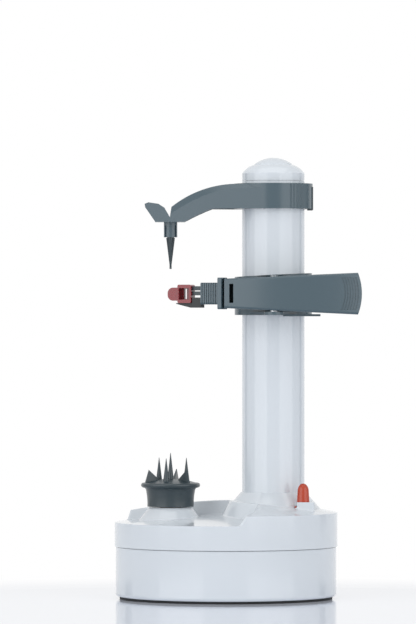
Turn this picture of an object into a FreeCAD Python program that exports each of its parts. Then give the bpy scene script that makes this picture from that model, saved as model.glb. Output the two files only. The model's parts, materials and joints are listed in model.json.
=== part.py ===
import FreeCAD, Part
import math
import os

# An electric potato peeler: a round two-part base with a scooped deck, a turning food holder,
# a tower with a lead screw inside it, a peeling arm on a carriage that the screw drives, and an
# upper arm with a free-turning spike. Millimetres, +Z up, +X towards the tower, the user stands
# on the -Y side. The origin is the centre of the base on the surface that it stands on.

V = FreeCAD.Vector

# Clearances
RUN_FIT = 0.05          # radial play of a shaft in its bush
SEAT_FIT = 0.05         # radial play of a fixed piece in its seat
SLIDE_FIT = 0.35        # play of a slide or a key
CASE_WALL = 2.5

# Base
BASE_R = 73.5
SEAM_Z = 34.4           # middle of the gap between the two shells
SEAM_GAP = 0.5
SEAM_STEP = 0.7         # how far the cover overhangs the lower shell
DECK_EDGE_Z = 56.9      # height of the high deck at the rim
DECK_RISE = 7.8         # how much the deck crowns towards the middle
DECK_ROUND = 1.5        # rounding of the rim, the scoop's lip and its foot
FOOT_HEIGHT = 1.6       # gap under the shell that the foot ring fills
FOOT_SEAT = 1.4         # depth of the foot ring's groove
FOOT_R_OUT = 70.2
FOOT_R_IN = 63.0
FLOOR_THICK = 2.8
LOWER_ROUND = 2.2
LIP_HEIGHT = 3.0
LIP_WALL = 1.5

# Scoop: the part of the deck that is cut lower, open towards the user
SCOOP_X = -58.0
SCOOP_Y = -41.0
SCOOP_R = 72.5          # radius at the height of its floor's near edge
SCOOP_FLOOR_Z = 50.5    # floor at the rim of the base
SCOOP_FALL = 0.07       # rise of the floor per mm towards the middle of the base
SCOOP_SLOPE = math.tan(math.radians(30.0))   # how much the wall leans out per mm of height
GUARD_R = 28.5          # deck left standing around the tower, at the crown's height

# Food holder and its drive
HOLDER_X = -36.6
HOLDER_Z = 60.7
HOLDER_R_FOOT = 15.35
HOLDER_R_NECK = 16.3
HOLDER_R_FLANGE = 19.5
HOLDER_FLANGE_Z = 73.2
HOLDER_FLANGE_THICK = 3.2
HOLDER_CROWN = 2.6
HOLDER_WALL = 2.4
PEDESTAL_Z = 60.2
PEDESTAL_R_TOP = 14.0
PEDESTAL_R_FOOT = 22.6
PEDESTAL_FOOT_Z = 50.0
SHAFT_R = 3.5
JOURNAL_R = 3.0
PIN_TALL_Z = 96.0       # tip of the middle pin
PIN_Z = 92.7            # tips of the ring of pins
PIN_RING_R = 10.8
PIN_R = 1.9
PIN_FIRST_DEG = 15.0
FIN_Z = 85.0
FIN_R_IN = 5.0
FIN_R_TIP = 14.9
FIN_R_OUT = 17.4
FIN_THICK = 2.0
PRONGS = 3              # three pins and, between them, three fins

# Tower
TOWER_X = 31.2
TOWER_R = 20.6
TOWER_WALL = 2.4
TOWER_FOOT_Z = 56.0
TOWER_TOP_Z = 275.3
FLANGE_R = 27.0
FLANGE_THICK = 2.5
FLARE_TOP_Z = 70.3
FLARE_FOOT_Z = 63.4
FLARE_R = 27.4
FLARE_LIP = 0.6
FLARE_SUNK = 5.0        # how far the skirt runs on below its foot, into the crowned deck
SLOT_HALF = 3.2
SLOT_FOOT_Z = 76.0
CAP_GAP = 0.2
CAP_SHOULDER_Z = 280.4
CAP_STEP_Z = 286.0
CAP_STEP_R = 13.3
CAP_DOME_R = 12.4
CAP_TOP_Z = 290.8
CAP_BULGE = 1.0
SPIGOT_DEPTH = 8.0
SPIGOT_WALL = 1.8

# Lead screw
SCREW_CORE_R = 4.0
SCREW_CREST_R = 5.5
SCREW_PITCH = 7.0
RIDGE_CREST = 2.8
RIDGE_ROOT = 4.2
THREAD_TURNS = 24
TURNS_BELOW = 16        # whole turns between the thread's foot and the follower

# Gear plate and levels
PLATE_Z = 33.0
PLATE_THICK = 2.0
PLATE_R = 57.0
PLATE_POSTS = [(58.0, 18.0), (24.0, 50.0), (0.0, -60.0), (-40.0, -42.0)]
POST_R = 3.6
LOBE_R = 5.0
BUSH_R = 5.0
LEVEL_GAP = 0.6
GEAR_FACE = 3.2
HUB_R = 4.6
AXLE_R = 1.5
MOTOR_SHAFT_R = 1.0

# Gear train, from the motor to the two output gears
MODULE_MOTOR = 1.0
MODULE_MIDDLE = 1.25
MODULE_LAST = 1.5
TEETH_PINION = 10
TEETH_FIRST = 46
TEETH_FIRST_SMALL = 10
TEETH_SECOND = 38
TEETH_SECOND_SMALL = 12
TEETH_OUTPUT = 34
BACKLASH = 0.30
FIRST_GEAR_DEG = 100.0  # direction from the second gear to the first
MOTOR_DEG = 180.0       # direction from the first gear to the motor

# Motor, switch, socket and battery bay
MOTOR_R = 12.0
MOTOR_LENGTH = 26.9
CELL_R = 7.25
CELL_LENGTH = 50.5
CELL_PITCH = 14.55
CELLS = 4
BAY_FRONT_Y = -50.8
BAY_BACK_Y = 2.8
BAY_WALL = 1.6
BAY_ROOF_Z = 18.0
COVER_LAP = 1.9
COVER_THICK = 1.2
COVER_TRAVEL = 10.0
COVER_PLAY = 0.2
CONTACT_THICK = 0.5
SOCKET_X = -8.0
SOCKET_Z = 16.0
SOCKET_HALF = 5.0
SOCKET_BARREL_R = 3.8
SOCKET_BORE_R = 3.1
SOCKET_PIN_R = 1.0

# Case screws
CASE_SCREW_R = 64.0
CASE_SCREW_DEG = [75.0, 150.0, 215.0, 318.0]
CASE_POST_R = 4.2
SCREW_HEAD_R = 3.2
SCREW_SHANK_R = 1.4
SCREW_HEAD = 2.4
CASE_SCREW_HEAD_Z = 9.6
CASE_SCREW_TIP_Z = 44.0

# Start button
BUTTON_X = 50.4
BUTTON_Y = -27.0
BUTTON_R = 4.15
BUTTON_TOP_Z = 76.8
BUTTON_SEAT_Z = 64.6
BUTTON_FLANGE_R = 5.4
BUTTON_TRAVEL = 3.0
PAD_LEFT = 4.2
PAD_RIGHT = 7.3
PAD_DEPTH = 6.2
PAD_ROUND = 1.6
PAD_ROOF = 2.5
SWITCH_TOP_Z = 53.6

# Carriage and peeling arm
CARRIAGE_R = 25.5
CARRIAGE_FOOT_Z = 187.0
CARRIAGE_TOP_Z = 212.1
CARRIAGE_TOP_RISE = 0.05
PIVOT_Y = -38.0
PIVOT_R = 2.5
LOBE_PIVOT_R = 6.5
CLEVIS_THICK = 2.2
FOLLOWER_Z = 201.0
FOLLOWER_HALF_Z = 6.0
ARM_SKIN = 2.2
ARM_LEFT_X = -1.3
ARM_RIGHT_X = 88.4
ARM_GRIP_X = 85.8
ARM_LEFT_LOW_Z = 191.5
ARM_LEFT_HIGH_Z = 210.8
ARM_RIGHT_LOW_Z = 187.3
ARM_RIGHT_HIGH_Z = 214.6
ARM_MIDDLE_Z = 201.2
ARM_ROUND = 1.6
EAR_SWEEP = 19.0        # how far right of the pivot the ears reach under the swung arm
GRIP_GROOVES = 6
GRIP_PITCH = 1.7
GRIP_WIDTH = 0.7
GRIP_DEPTH = 0.35

# Blade head, measured along its own axis from its seat on the arm
HEAD_X = -2.55
HEAD_Y = -31.3
HEAD_YAW = 19.0
NOSE_ROUND = 3.7

# Upper arm
UPPER_FOOT_Z = 257.0
UPPER_TOP_Z = 273.6
UPPER_R = 26.0
UPPER_TIP_HALF = 9.0
UPPER_BAND = 3.0
SPIKE_TOP_Z = 248.3
SPIKE_SHOULDER_Z = 238.3
SPIKE_TIP_Z = 217.4
SPIKE_BOSS_R = 4.45
SPIKE_SHANK_R = 2.3
SPIKE_SNAP_R = 2.9      # ring on the shank that snaps into the slotted boss
SPIKE_SNAP_Z = 243.0
SPIKE_SNAP_HIGH = 1.5
SPIKE_HEAD_Z = 247.0
BOSS_SLOT = 1.0
SPIKE_HALF = 2.9
GRIP_RIBS = 5
RELEASE_TRAVEL = 1.0


def cyl(r, z0, z1, x=0.0, y=0.0):
    return Part.makeCylinder(r, z1 - z0, V(x, y, z0))


def tube(r_out, r_in, z0, z1, x=0.0, y=0.0):
    return cyl(r_out, z0, z1, x, y).cut(cyl(r_in, z0 - 1, z1 + 1, x, y))


def cone(r0, r1, z0, z1, x=0.0, y=0.0):
    return Part.makeCone(r0, r1, z1 - z0, V(x, y, z0))


def box(x0, x1, y0, y1, z0, z1):
    return Part.makeBox(x1 - x0, y1 - y0, z1 - z0, V(x0, y0, z0))


def rod_y(r, y0, y1, x, z):
    return Part.makeCylinder(r, y1 - y0, V(x, y0, z), V(0, 1, 0))


def prism(points, direction):
    corners = [V(*p) for p in points]
    face = Part.Face(Part.makePolygon(corners + corners[:1]))
    return face.extrude(V(*direction))


def prism_z(points, z0, z1):
    return prism([(x, y, z0) for x, y in points], (0, 0, z1 - z0))


def prism_y(points, y0, y1):
    return prism([(x, y0, z) for x, z in points], (0, y1 - y0, 0))


def prism_x(points, x0, x1):
    return prism([(x0, y, z) for y, z in points], (x1 - x0, 0, 0))


def lathe(points, x=0.0, y=0.0):
    """Turn an outline of (radius, height) points about the vertical through x, y."""
    corners = [V(x + r, y, z) for r, z in points]
    face = Part.Face(Part.makePolygon(corners + corners[:1]))
    return face.revolve(V(x, y, 0), V(0, 0, 1), 360)


def outline(parts):
    """A face from lines (two points) and arcs (three points), in order."""
    edges = []
    for part in parts:
        ends = [V(*p) for p in part]
        if len(ends) == 2:
            edges.append(Part.makeLine(*ends))
        else:
            edges.append(Part.Arc(*ends).toShape())
    return Part.Face(Part.Wire(edges))


def join(first, *others):
    return first.fuse(list(others))


def cap_middle(r, edge_z, top_z):
    """A point half way along a spherical cap of radius r between two heights."""
    rise = top_z - edge_z
    ball = (r ** 2 + rise ** 2) / (2 * rise)
    half = r / 2
    return half, top_z - ball + math.sqrt(ball ** 2 - half ** 2)


def edges_where(shape, test):
    return [e for e in shape.Edges if test(e)]


def on_circle(r, deg, x=0.0, y=0.0):
    a = math.radians(deg)
    return x + r * math.cos(a), y + r * math.sin(a)


def save(name, shape):
    shape.exportStep("parts/" + name + ".step")
    solids = len(shape.Solids)
    print(name, "solids", solids, "volume", round(shape.Volume, 1), "valid", shape.isValid())


# Values that follow from the driving dimensions
COVER_FOOT_Z = SEAM_Z + SEAM_GAP / 2
LOWER_TOP_Z = SEAM_Z - SEAM_GAP / 2
LOWER_R = BASE_R - SEAM_STEP
DECK_TOP_Z = DECK_EDGE_Z + DECK_RISE
DECK_R = (BASE_R ** 2 + DECK_RISE ** 2) / (2 * DECK_RISE)
FLOOR_TOP_Z = FOOT_HEIGHT + FLOOR_THICK
PLATE_TOP_Z = PLATE_Z + PLATE_THICK
LEVEL_1 = PLATE_TOP_Z + LEVEL_GAP
LEVEL_2 = LEVEL_1 + GEAR_FACE + LEVEL_GAP
LEVEL_3 = LEVEL_2 + GEAR_FACE + LEVEL_GAP
LAST_CENTRES = MODULE_LAST * (TEETH_OUTPUT + TEETH_SECOND_SMALL) / 2
MIDDLE_CENTRES = MODULE_MIDDLE * (TEETH_SECOND + TEETH_FIRST_SMALL) / 2
FIRST_CENTRES = MODULE_MOTOR * (TEETH_FIRST + TEETH_PINION) / 2
SECOND_X = (HOLDER_X + TOWER_X) / 2
SECOND_Y = math.sqrt(LAST_CENTRES ** 2 - ((TOWER_X - HOLDER_X) / 2) ** 2)
FIRST_X, FIRST_Y = on_circle(MIDDLE_CENTRES, FIRST_GEAR_DEG, SECOND_X, SECOND_Y)
MOTOR_X, MOTOR_Y = on_circle(FIRST_CENTRES, MOTOR_DEG, FIRST_X, FIRST_Y)
THREAD_FOOT_Z = FOLLOWER_Z - SCREW_PITCH * (0.75 + TURNS_BELOW)
COLLAR_BORE = TOWER_R + SLIDE_FIT
TOWER_BORE = TOWER_R - TOWER_WALL


def crowned_drum(r, foot_z, shrink):
    """A drum with the deck's crown on top, smaller by shrink all round."""
    crown_r = DECK_R - shrink
    crown_z = DECK_TOP_Z - DECK_R
    edge_z = crown_z + math.sqrt(crown_r ** 2 - r ** 2)
    half = r / 2
    half_z = crown_z + math.sqrt(crown_r ** 2 - half ** 2)
    face = outline([
        [(0, 0, foot_z), (r, 0, foot_z)],
        [(r, 0, foot_z), (r, 0, edge_z)],
        [(r, 0, edge_z), (half, 0, half_z), (0, 0, crown_z + crown_r)],
        [(0, 0, crown_z + crown_r), (0, 0, foot_z)],
    ])
    return face.revolve(V(0, 0, 0), V(0, 0, 1), 360)


def floor_height(r):
    """Height of the scoop's floor, a shallow cone about the middle of the base."""
    return SCOOP_FLOOR_Z + SCOOP_FALL * (BASE_R - r)


def scoop_tool(grow):
    """The space above the scooped deck; grow makes it larger by a wall all round."""
    low, high = SCOOP_FLOOR_Z - 10, DECK_TOP_Z + 12
    side = grow * math.sqrt(1 + SCOOP_SLOPE ** 2)
    r_low = SCOOP_R + side + (low - SCOOP_FLOOR_Z) * SCOOP_SLOPE
    r_high = SCOOP_R + side + (high - SCOOP_FLOOR_Z) * SCOOP_SLOPE
    bowl = cone(r_low, r_high, low, high, SCOOP_X, SCOOP_Y)
    g_low = GUARD_R - side + (DECK_TOP_Z - low) * SCOOP_SLOPE
    g_high = GUARD_R - side + (DECK_TOP_Z - high) * SCOOP_SLOPE
    bowl = bowl.cut(cone(g_low, g_high, low, high, TOWER_X, 0))
    peak = floor_height(0) - grow
    depth = peak - low + 1
    return bowl.cut(cone(depth / SCOOP_FALL, 0, peak - depth, peak))


def button_pad():
    """The raised ledge that the start button stands in."""
    pad = box(BUTTON_X - PAD_LEFT, BUTTON_X + PAD_RIGHT, BUTTON_Y - PAD_DEPTH,
              BUTTON_Y + PAD_DEPTH, DECK_EDGE_Z - 3, BUTTON_SEAT_Z)
    upright = edges_where(pad, lambda e: abs(e.tangentAt(e.FirstParameter).z) > 0.9)
    return pad.makeFillet(PAD_ROUND, upright)


def tower_flare():
    """The skirt around the tower's foot, run into the deck."""
    lean = (FLARE_R - TOWER_R - SEAT_FIT - FLARE_LIP) / (FLARE_TOP_Z - FLARE_FOOT_Z)
    return cone(FLARE_R + lean * FLARE_SUNK, TOWER_R + SEAT_FIT + FLARE_LIP,
                FLARE_FOOT_Z - FLARE_SUNK, FLARE_TOP_Z, TOWER_X)


def is_cover_edge(edge):
    """True for the edges that the mould rounds: the rim, the scoop's lip and its foot."""
    if type(edge.Curve).__name__ in ("Line", "Circle"):
        return False
    middle = edge.valueAt((edge.FirstParameter + edge.LastParameter) / 2)
    r = math.hypot(middle.x, middle.y)
    if r > BASE_R - 2:
        return r > BASE_R - 0.2 and middle.z > COVER_FOOT_Z + 2
    deck_z = DECK_TOP_Z - DECK_R + math.sqrt(DECK_R ** 2 - r ** 2)
    return min(abs(middle.z - deck_z), abs(middle.z - floor_height(r))) < 0.05


def cover_hollow():
    """The space inside the cover, less the screw posts and the seat under the tower."""
    hollow = crowned_drum(BASE_R - CASE_WALL, COVER_FOOT_Z - 1, CASE_WALL)
    hollow = hollow.cut(scoop_tool(CASE_WALL))
    lean = (PEDESTAL_R_FOOT - PEDESTAL_R_TOP) / (PEDESTAL_Z - PEDESTAL_FOOT_Z)
    roof = PEDESTAL_Z - CASE_WALL
    foot = COVER_FOOT_Z + 6
    inner_top = PEDESTAL_R_TOP - CASE_WALL + lean * CASE_WALL
    hollow = hollow.fuse(cone(inner_top + lean * (roof - foot), inner_top, foot, roof, HOLDER_X))
    kept = [cyl(CASE_POST_R, COVER_FOOT_Z - 2, DECK_TOP_Z, *on_circle(CASE_SCREW_R, a))
            for a in CASE_SCREW_DEG]
    kept.append(cyl(FLANGE_R, TOWER_FOOT_Z + FLANGE_THICK, FLARE_TOP_Z, TOWER_X))
    return hollow.cut(kept)


def base_upper_cover():
    drum = join(crowned_drum(BASE_R, COVER_FOOT_Z, 0), tower_flare(), button_pad())
    body = drum.cut(scoop_tool(0))
    body = body.makeFillet(DECK_ROUND, edges_where(body, is_cover_edge))
    pedestal = cone(PEDESTAL_R_FOOT, PEDESTAL_R_TOP, PEDESTAL_FOOT_Z, PEDESTAL_Z, HOLDER_X)
    shell = join(body, pedestal).cut(cover_hollow())
    shell = shell.cut(cyl(TOWER_R + SEAT_FIT, TOWER_FOOT_Z, FLARE_TOP_Z + 1, TOWER_X))
    shell = shell.cut(cyl(FLANGE_R + SEAT_FIT, TOWER_FOOT_Z - 2, TOWER_FOOT_Z + FLANGE_THICK,
                          TOWER_X))
    shell = shell.cut(cyl(BUSH_R, PEDESTAL_Z - CASE_WALL - 1, PEDESTAL_Z + 1, HOLDER_X))
    shell = shell.cut(cyl(BUTTON_R + SLIDE_FIT, DECK_EDGE_Z - 5, BUTTON_SEAT_Z + 1,
                          BUTTON_X, BUTTON_Y))
    shell = shell.cut(cyl(BUTTON_FLANGE_R + SLIDE_FIT, DECK_EDGE_Z - 5,
                          BUTTON_SEAT_Z - PAD_ROOF, BUTTON_X, BUTTON_Y))
    for x, y in tower_screw_places():
        shell = shell.cut(cyl(SCREW_SHANK_R, TOWER_FOOT_Z, FLARE_FOOT_Z - 1.5, x, y))
    for a in CASE_SCREW_DEG:
        x, y = on_circle(CASE_SCREW_R, a)
        shell = shell.cut(cyl(SCREW_SHANK_R, COVER_FOOT_Z - 1, CASE_SCREW_TIP_Z + 0.5, x, y))
    return shell


def tower_screw_places():
    r = (TOWER_R + FLANGE_R) / 2
    return [on_circle(r, 45 + 90 * i, TOWER_X) for i in range(4)]


def bay_box(grow, z0, z1):
    half = CELL_PITCH * CELLS / 2 + COVER_PLAY + grow
    return box(-half, half, BAY_FRONT_Y - grow, BAY_BACK_Y + grow, z0, z1)


def cover_recess(z0, z1, play, travel):
    half = CELL_PITCH * CELLS / 2 + COVER_PLAY + COVER_LAP + play
    return box(-half, half, BAY_FRONT_Y - COVER_LAP - play,
               BAY_BACK_Y + COVER_LAP + play + travel, z0, z1)


def cover_rails(play, travel):
    """The tongues along both sides of the battery cover, or the grooves they run in."""
    half = CELL_PITCH * CELLS / 2 + COVER_PLAY + COVER_LAP
    low = FOOT_HEIGHT + 0.5 - play
    high = FOOT_HEIGHT + FLOOR_THICK / 2 - 0.1 + play
    rails = []
    for side in (-1, 1):
        x0, x1 = sorted((side * (half - 1), side * (half + 1.1 + play)))
        for y in (BAY_FRONT_Y + 6, BAY_BACK_Y - 16):
            rails.append(box(x0, x1, y - play, y + 10 + play + travel, low, high))
    return rails


def base_lower_shell():
    tub = cyl(LOWER_R, FOOT_HEIGHT, LOWER_TOP_Z)
    rim = edges_where(tub, lambda e: e.BoundBox.ZMax < FOOT_HEIGHT + 0.1)
    tub = tub.makeFillet(LOWER_ROUND, [e for e in rim if e.BoundBox.XLength > LOWER_R])
    tub = tub.cut(cyl(LOWER_R - CASE_WALL, FLOOR_TOP_Z, LOWER_TOP_Z + 1))
    lip_r = BASE_R - CASE_WALL - COVER_PLAY
    lip = tube(lip_r, lip_r - LIP_WALL, LOWER_TOP_Z - LIP_HEIGHT, LOWER_TOP_Z + LIP_HEIGHT)
    tub = tub.fuse(lip)
    tub = tub.cut(tube(FOOT_R_OUT, FOOT_R_IN, FOOT_HEIGHT - 1, FOOT_HEIGHT + FOOT_SEAT))
    bay = bay_box(BAY_WALL, FLOOR_TOP_Z - 1, BAY_ROOF_Z + BAY_WALL)
    posts = [cyl(POST_R, FLOOR_TOP_Z - 1, PLATE_Z, x, y) for x, y in PLATE_POSTS]
    for a in CASE_SCREW_DEG:
        posts.append(cyl(CASE_POST_R, FLOOR_TOP_Z - 1, LOWER_TOP_Z,
                         *on_circle(CASE_SCREW_R, a)))
    cradle = box(SOCKET_X - SOCKET_HALF, SOCKET_X + SOCKET_HALF, LOWER_R - 14, LOWER_R - 5,
                 FLOOR_TOP_Z - 1, SOCKET_Z - SOCKET_HALF)
    tub = join(tub, bay, cradle, *posts)
    tub = tub.cut(bay_box(0, 0, BAY_ROOF_Z))
    half_floor = FOOT_HEIGHT + FLOOR_THICK / 2
    tub = tub.cut(cover_recess(0, half_floor, COVER_PLAY, COVER_TRAVEL))
    for groove in cover_rails(COVER_PLAY / 2, COVER_TRAVEL):
        tub = tub.cut(groove)
    for a in CASE_SCREW_DEG:
        x, y = on_circle(CASE_SCREW_R, a)
        tub = tub.cut(cyl(SCREW_HEAD_R + SEAT_FIT, 0, CASE_SCREW_HEAD_Z + SCREW_HEAD, x, y))
        tub = tub.cut(cyl(SCREW_SHANK_R + 0.3, 0, LOWER_TOP_Z + 1, x, y))
    for x, y in PLATE_POSTS:
        tub = tub.cut(cyl(SCREW_SHANK_R, PLATE_Z - 10, PLATE_Z + 1, x, y))
    tub = tub.cut(rod_y(SOCKET_BARREL_R + SEAT_FIT, LOWER_R - 8, LOWER_R + 1,
                        SOCKET_X, SOCKET_Z))
    return tub


def foot_ring():
    return tube(FOOT_R_OUT - SEAT_FIT, FOOT_R_IN + SEAT_FIT, 0, FOOT_HEIGHT + FOOT_SEAT)


def battery_cover():
    low = FOOT_HEIGHT + 0.1
    plate = cover_recess(low, low + COVER_THICK, 0, 0)
    ridges = [box(-12, 12, BAY_FRONT_Y + 3 + 3 * i, BAY_FRONT_Y + 4 + 3 * i, low - 1, low + 0.5)
              for i in range(4)]
    plate = plate.cut(ridges[0])
    for ridge in ridges[1:]:
        plate = plate.cut(ridge)
    return join(plate, *cover_rails(0, 0))


def cell_centres():
    first = -CELL_PITCH * (CELLS - 1) / 2
    return [first + CELL_PITCH * i for i in range(CELLS)]


def battery_cells():
    z = FOOT_HEIGHT + FLOOR_THICK / 2 + 0.2 + CELL_R
    middle = (BAY_FRONT_Y + BAY_BACK_Y) / 2
    cells = []
    for i, x in enumerate(cell_centres()):
        body = rod_y(CELL_R, middle - CELL_LENGTH / 2, middle + CELL_LENGTH / 2 - 1, x, z)
        nub = rod_y(2.7, middle + CELL_LENGTH / 2 - 1, middle + CELL_LENGTH / 2, x, z)
        cell = body.fuse(nub)
        if i % 2:
            cell.rotate(V(x, middle, z), V(0, 0, 1), 180)
        cells.append(cell)
    return Part.makeCompound(cells)


def battery_contacts():
    low, high = FLOOR_TOP_Z + 1.2, BAY_ROOF_Z - 1.5
    reach = (BAY_BACK_Y - BAY_FRONT_Y - CELL_LENGTH) / 2
    plates = []
    for x in cell_centres():
        for y, side in ((BAY_FRONT_Y, 1), (BAY_BACK_Y, -1)):
            y0, y1 = sorted((y, y + side * CONTACT_THICK))
            plate = box(x - 4.5, x + 4.5, y0, y1, low, high)
            z = (low + high) / 2 - 0.3
            t0, t1 = sorted((y + side * CONTACT_THICK, y + side * reach))
            plates.append(plate.fuse(rod_y(2.0, t0, t1, x, z)))
    return Part.makeCompound(plates)


def gear_outline(teeth, module, x, y, turn_deg):
    """Straight-flanked teeth, thinner than the pitch by the backlash."""
    pitch_r = teeth * module / 2
    tip_r = pitch_r + module * 0.9
    root_r = pitch_r - module * 1.25
    half_pitch = (math.pi * module / 2 - BACKLASH) / 2 / pitch_r
    lean = math.tan(math.radians(22.0))
    half_tip = half_pitch - module * 0.9 * lean / pitch_r
    half_root = half_pitch + module * 1.1 * lean / pitch_r
    points = []
    for i in range(teeth):
        middle = math.radians(turn_deg) + 2 * math.pi * i / teeth
        for r, a in ((root_r, -half_root), (tip_r, -half_tip), (tip_r, half_tip),
                     (root_r, half_root)):
            points.append((x + r * math.cos(middle + a), y + r * math.sin(middle + a)))
    return points


def gear(teeth, module, x, y, z0, z1, turn_deg=0.0):
    return prism_z(gear_outline(teeth, module, x, y, turn_deg), z0, z1)


def mesh_turn(teeth, driver_teeth, driver_turn, driver_at, own_at):
    """The turn that puts a gap of this gear where the driver's tooth meets it."""
    towards = math.degrees(math.atan2(own_at[1] - driver_at[1], own_at[0] - driver_at[0]))
    phase = (towards - driver_turn) * driver_teeth / 360.0
    return towards + 180.0 + (phase + 0.5) * 360.0 / teeth


SECOND_TURN = 0.0
HOLDER_TURN = mesh_turn(TEETH_OUTPUT, TEETH_SECOND_SMALL, SECOND_TURN,
                        (SECOND_X, SECOND_Y), (HOLDER_X, 0))
SCREW_TURN = mesh_turn(TEETH_OUTPUT, TEETH_SECOND_SMALL, SECOND_TURN,
                       (SECOND_X, SECOND_Y), (TOWER_X, 0))
FIRST_TURN = mesh_turn(TEETH_FIRST_SMALL, TEETH_SECOND, SECOND_TURN,
                       (SECOND_X, SECOND_Y), (FIRST_X, FIRST_Y))
PINION_TURN = mesh_turn(TEETH_PINION, TEETH_FIRST, FIRST_TURN,
                        (FIRST_X, FIRST_Y), (MOTOR_X, MOTOR_Y))


def output_gear(x, turn_deg):
    """The last gear of the train, once on the holder's shaft and once on the lead screw."""
    wheel = gear(TEETH_OUTPUT, MODULE_LAST, x, 0, LEVEL_1, LEVEL_1 + GEAR_FACE, turn_deg)
    rim = TEETH_OUTPUT * MODULE_LAST / 2 - 2 * MODULE_LAST - 2
    hub = (rim + HUB_R + 3) / 2
    for i in range(5):
        px, py = on_circle(hub, 72 * i + 36, x, 0)
        wheel = wheel.cut(cyl(4.5, LEVEL_1 - 1, LEVEL_1 + GEAR_FACE + 1, px, py))
    return wheel.cut(cyl(SHAFT_R, LEVEL_1 - 1, LEVEL_1 + GEAR_FACE + 1, x, 0))


def second_gear():
    small = gear(TEETH_SECOND_SMALL, MODULE_LAST, SECOND_X, SECOND_Y, LEVEL_1, LEVEL_2,
                 SECOND_TURN)
    large = gear(TEETH_SECOND, MODULE_MIDDLE, SECOND_X, SECOND_Y, LEVEL_2,
                 LEVEL_2 + GEAR_FACE, SECOND_TURN)
    bore = cyl(AXLE_R + RUN_FIT, LEVEL_1 - 1, LEVEL_3, SECOND_X, SECOND_Y)
    return join(small, large).cut(bore)


def first_gear():
    spacer = cyl(HUB_R - 1, LEVEL_1 - LEVEL_GAP / 2, LEVEL_2, FIRST_X, FIRST_Y)
    small = gear(TEETH_FIRST_SMALL, MODULE_MIDDLE, FIRST_X, FIRST_Y, LEVEL_2, LEVEL_3,
                 FIRST_TURN)
    large = gear(TEETH_FIRST, MODULE_MOTOR, FIRST_X, FIRST_Y, LEVEL_3, LEVEL_3 + GEAR_FACE,
                 FIRST_TURN)
    bore = cyl(AXLE_R + RUN_FIT, PLATE_Z, LEVEL_3 + GEAR_FACE + 1, FIRST_X, FIRST_Y)
    return join(spacer, small, large).cut(bore)


def motor_pinion():
    pinion = gear(TEETH_PINION, MODULE_MOTOR, MOTOR_X, MOTOR_Y, LEVEL_3,
                  LEVEL_3 + GEAR_FACE, PINION_TURN)
    return pinion.cut(cyl(MOTOR_SHAFT_R, LEVEL_3 - 1, LEVEL_3 + GEAR_FACE + 1,
                          MOTOR_X, MOTOR_Y))


def motor_shaft():
    return cyl(MOTOR_SHAFT_R, PLATE_Z + 1, LEVEL_3 + GEAR_FACE + 0.4, MOTOR_X, MOTOR_Y)


def motor_body():
    can = cyl(MOTOR_R, PLATE_Z - MOTOR_LENGTH, PLATE_Z, MOTOR_X, MOTOR_Y)
    rim = edges_where(can, lambda e: e.BoundBox.ZMax < PLATE_Z - MOTOR_LENGTH + 0.1
                      and e.BoundBox.XLength > MOTOR_R)
    can = can.makeFillet(1.5, rim)
    for side in (-1, 1):
        flat = box(MOTOR_X - MOTOR_R, MOTOR_X + MOTOR_R, MOTOR_Y + side * (MOTOR_R - 2) - 3,
                   MOTOR_Y + side * (MOTOR_R - 2) + 3, PLATE_Z - MOTOR_LENGTH - 1, PLATE_Z + 1)
        flat.translate(V(0, side * 3, 0))
        can = can.cut(flat)
    can = can.fuse(cyl(3.0, PLATE_Z, PLATE_TOP_Z, MOTOR_X, MOTOR_Y))
    return can.cut(cyl(MOTOR_SHAFT_R + RUN_FIT, PLATE_Z + 0.5, PLATE_TOP_Z + 1,
                       MOTOR_X, MOTOR_Y))


def gear_plate():
    plate = cyl(PLATE_R, PLATE_Z, PLATE_TOP_Z)
    lobes = [cyl(LOBE_R, PLATE_Z, PLATE_TOP_Z, x, y) for x, y in PLATE_POSTS]
    switch_post = box(BUTTON_X - 5, BUTTON_X + 5, BUTTON_Y - 4, BUTTON_Y + 4, PLATE_Z,
                      SWITCH_TOP_Z - 8)
    bushes = [cyl(BUSH_R + 2, PLATE_Z - 3, PLATE_Z, x, 0) for x in (HOLDER_X, TOWER_X)]
    plate = join(plate, switch_post, *lobes, *bushes)
    for x in (HOLDER_X, TOWER_X):
        plate = plate.cut(cyl(BUSH_R, PLATE_Z - 4, PLATE_TOP_Z + 1, x, 0))
    plate = plate.cut(cyl(3.0, PLATE_Z - 1, PLATE_TOP_Z + 1, MOTOR_X, MOTOR_Y))
    for x, y in ((SECOND_X, SECOND_Y), (FIRST_X, FIRST_Y)):
        plate = plate.cut(cyl(AXLE_R, PLATE_Z - 1, PLATE_TOP_Z + 1, x, y))
    for x, y in PLATE_POSTS:
        plate = plate.cut(cyl(SCREW_SHANK_R, PLATE_Z - 1, PLATE_TOP_Z + 1, x, y))
    return plate


def gear_axles():
    second = cyl(AXLE_R, PLATE_Z, LEVEL_2 + GEAR_FACE + 0.5, SECOND_X, SECOND_Y)
    first = cyl(AXLE_R, PLATE_Z, LEVEL_3 + GEAR_FACE + 0.5, FIRST_X, FIRST_Y)
    return Part.makeCompound([second, first])


def lower_bushes():
    bushes = [tube(BUSH_R, JOURNAL_R + RUN_FIT, PLATE_Z - 3, PLATE_TOP_Z, x, 0)
              for x in (HOLDER_X, TOWER_X)]
    return Part.makeCompound(bushes)


def screws(places, head_z, tip_z, head_down):
    """Pan-head screws, with their heads below or above."""
    group = []
    for x, y in places:
        if head_down:
            head = cyl(SCREW_HEAD_R, head_z, head_z + SCREW_HEAD, x, y)
            shank = cyl(SCREW_SHANK_R, head_z + SCREW_HEAD, tip_z, x, y)
        else:
            head = cyl(SCREW_HEAD_R, head_z, head_z + SCREW_HEAD, x, y)
            shank = cyl(SCREW_SHANK_R, tip_z, head_z, x, y)
        group.append(head.fuse(shank))
    return Part.makeCompound(group)


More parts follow.
